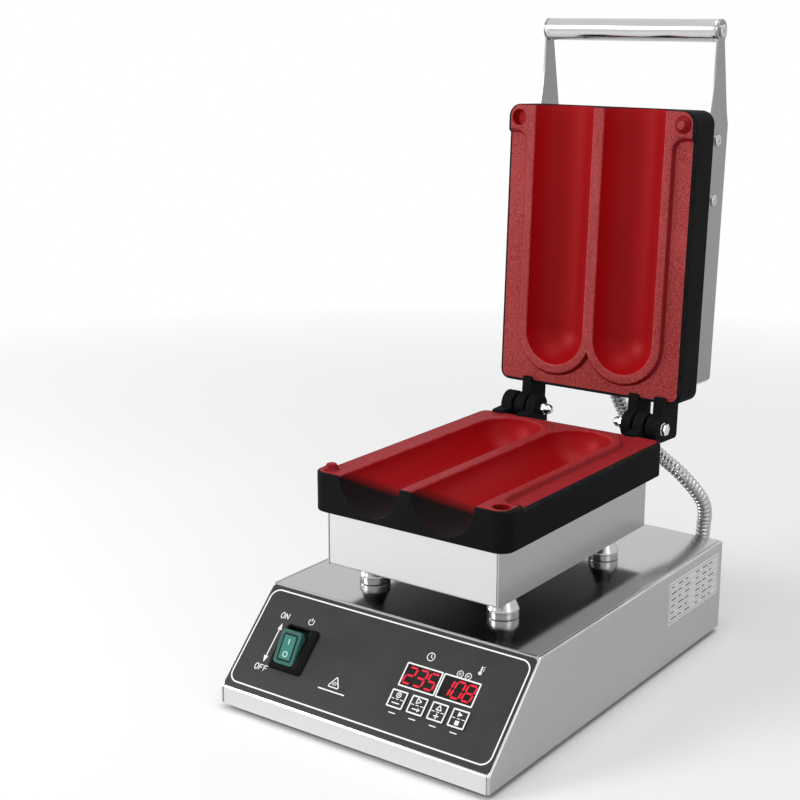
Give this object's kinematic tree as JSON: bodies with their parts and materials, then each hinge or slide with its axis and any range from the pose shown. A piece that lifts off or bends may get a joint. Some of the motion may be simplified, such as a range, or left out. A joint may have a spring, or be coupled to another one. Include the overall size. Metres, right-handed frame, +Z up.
{
  "type": "waffle cone maker",
  "caption": "Countertop hinged press with paired half-round channels in cast plates, on a stainless case with a sloped control panel.",
  "frame": {"origin": "centre of the case's footprint, at the height of the surface that the feet stand on", "axes": "+X to the user's right, +Y from the control panel to the rear, +Z up"},
  "size_m": [0.2503, 0.4285, 0.5219],
  "materials": {
    "case_steel": "satin brushed sheet, bright folded edges",
    "plain_sheet": "plain galvanised sheet",
    "foot_rubber": "matt black moulded rubber",
    "screw_steel": "bright zinc plated",
    "panel_film": "dark grey printed film, fine texture, white print",
    "key_film": "black key with a white outline and symbol",
    "switch_black": "glossy black moulding",
    "rocker_green": "translucent green rocker with white I and O",
    "display_red": "dark display with red digits",
    "display_lens": "glossy black window with a white outline",
    "led_clear": "clear lamp",
    "board_green": "green circuit board",
    "switch_parts": "black switch bodies",
    "nylon_white": "white nylon",
    "coil_iron": "varnished laminations and windings",
    "relay_case": "ivory moulded case",
    "gland_black": "black nylon",
    "label_silver": "silver label with blank ruled fields",
    "turned_steel": "bright turned steel",
    "housing_steel": "satin brushed sheet",
    "ceramic_wool": "pressed ceramic wool",
    "heater_sheath": "dark heat tinted tube",
    "probe_steel": "bright sheath",
    "plate_casting": "black coated casting with red non-stick working faces",
    "bolt_zinc": "bright zinc plated bolt and cap nut",
    "arm_steel": "satin steel plate",
    "handle_chrome": "polished bar",
    "conduit_metal": "interlocked metal strip and zinc fittings"
  },
  "bodies": {
    "base": {"base_shell": "case_steel", "side_panel_left": "case_steel", "side_panel_right": "case_steel", "bottom_plate": "plain_sheet", "foot_front_left": "foot_rubber", "foot_front_right": "foot_rubber", "foot_rear_left": "foot_rubber", "foot_rear_right": "foot_rubber", "foot_screws": "screw_steel", "panel_overlay": "panel_film", "switch_housing": "switch_black", "displays": "display_red", "display_lenses": "display_lens", "indicator_leds": "led_clear", "control_board": "board_green", "tact_switches": "switch_parts", "board_standoffs": "nylon_white", "transformer": "coil_iron", "relay": "relay_case", "terminal_block": "nylon_white", "mains_gland": "gland_black", "rating_plate": "label_silver", "pillar_front_left": "turned_steel", "pillar_front_right": "turned_steel", "pillar_rear_left": "turned_steel", "pillar_rear_right": "turned_steel", "pillar_bolts": "screw_steel", "lower_housing": "housing_steel", "lower_side_left": "housing_steel", "lower_side_right": "housing_steel", "lower_insulation": "ceramic_wool", "lower_heat_shield": "plain_sheet", "lower_heater": "heater_sheath", "lower_probe": "probe_steel", "lower_plate": "plate_casting", "lower_plate_screws": "screw_steel", "hinge_bolt_left": "bolt_zinc", "hinge_nut_left": "bolt_zinc", "base_connector": "conduit_metal", "conduit": "conduit_metal"},
    "lid": {"upper_plate": "plate_casting", "upper_heater": "heater_sheath", "upper_heat_shield": "plain_sheet", "upper_insulation": "ceramic_wool", "upper_probe": "probe_steel", "upper_housing": "housing_steel", "upper_plate_screws": "screw_steel", "arm_left": "arm_steel", "arm_right": "arm_steel", "arm_screws": "screw_steel", "handle_bar": "handle_chrome", "handle_screws": "screw_steel", "lid_connector": "conduit_metal", "hinge_bolt_right": "bolt_zinc", "hinge_nut_right": "bolt_zinc"},
    "rocker": {"switch_rocker": "rocker_green"},
    "key_set": {"key_set": "key_film"},
    "key_next": {"key_next": "key_film"},
    "key_up": {"key_up": "key_film"},
    "key_start": {"key_start": "key_film"}
  },
  "joints": [
    {"name": "lid_hinge", "type": "hinge", "parent": "base", "child": "lid", "pos_m": [0, 0.1542, 0.183], "axis": [1, 0, 0], "range_deg": [0, 92.5]},
    {"name": "switch_rock", "type": "hinge", "parent": "base", "child": "rocker", "pos_m": [-0.0755, -0.1553, 0.05081], "axis": [-1, 0, 0], "range_deg": [0, 28]},
    {"name": "key_set_press", "type": "slide", "parent": "base", "child": "key_set", "axis": [0, 0.7071, -0.7071], "range_m": [0, 0.00045], "stiffness_N_per_m": 600, "springref_m": -0.0005},
    {"name": "key_next_press", "type": "slide", "parent": "base", "child": "key_next", "axis": [0, 0.7071, -0.7071], "range_m": [0, 0.00045], "stiffness_N_per_m": 600, "springref_m": -0.0005},
    {"name": "key_up_press", "type": "slide", "parent": "base", "child": "key_up", "axis": [0, 0.7071, -0.7071], "range_m": [0, 0.00045], "stiffness_N_per_m": 600, "springref_m": -0.0005},
    {"name": "key_start_press", "type": "slide", "parent": "base", "child": "key_start", "axis": [0, 0.7071, -0.7071], "range_m": [0, 0.00045], "stiffness_N_per_m": 600, "springref_m": -0.0005}
  ]
}
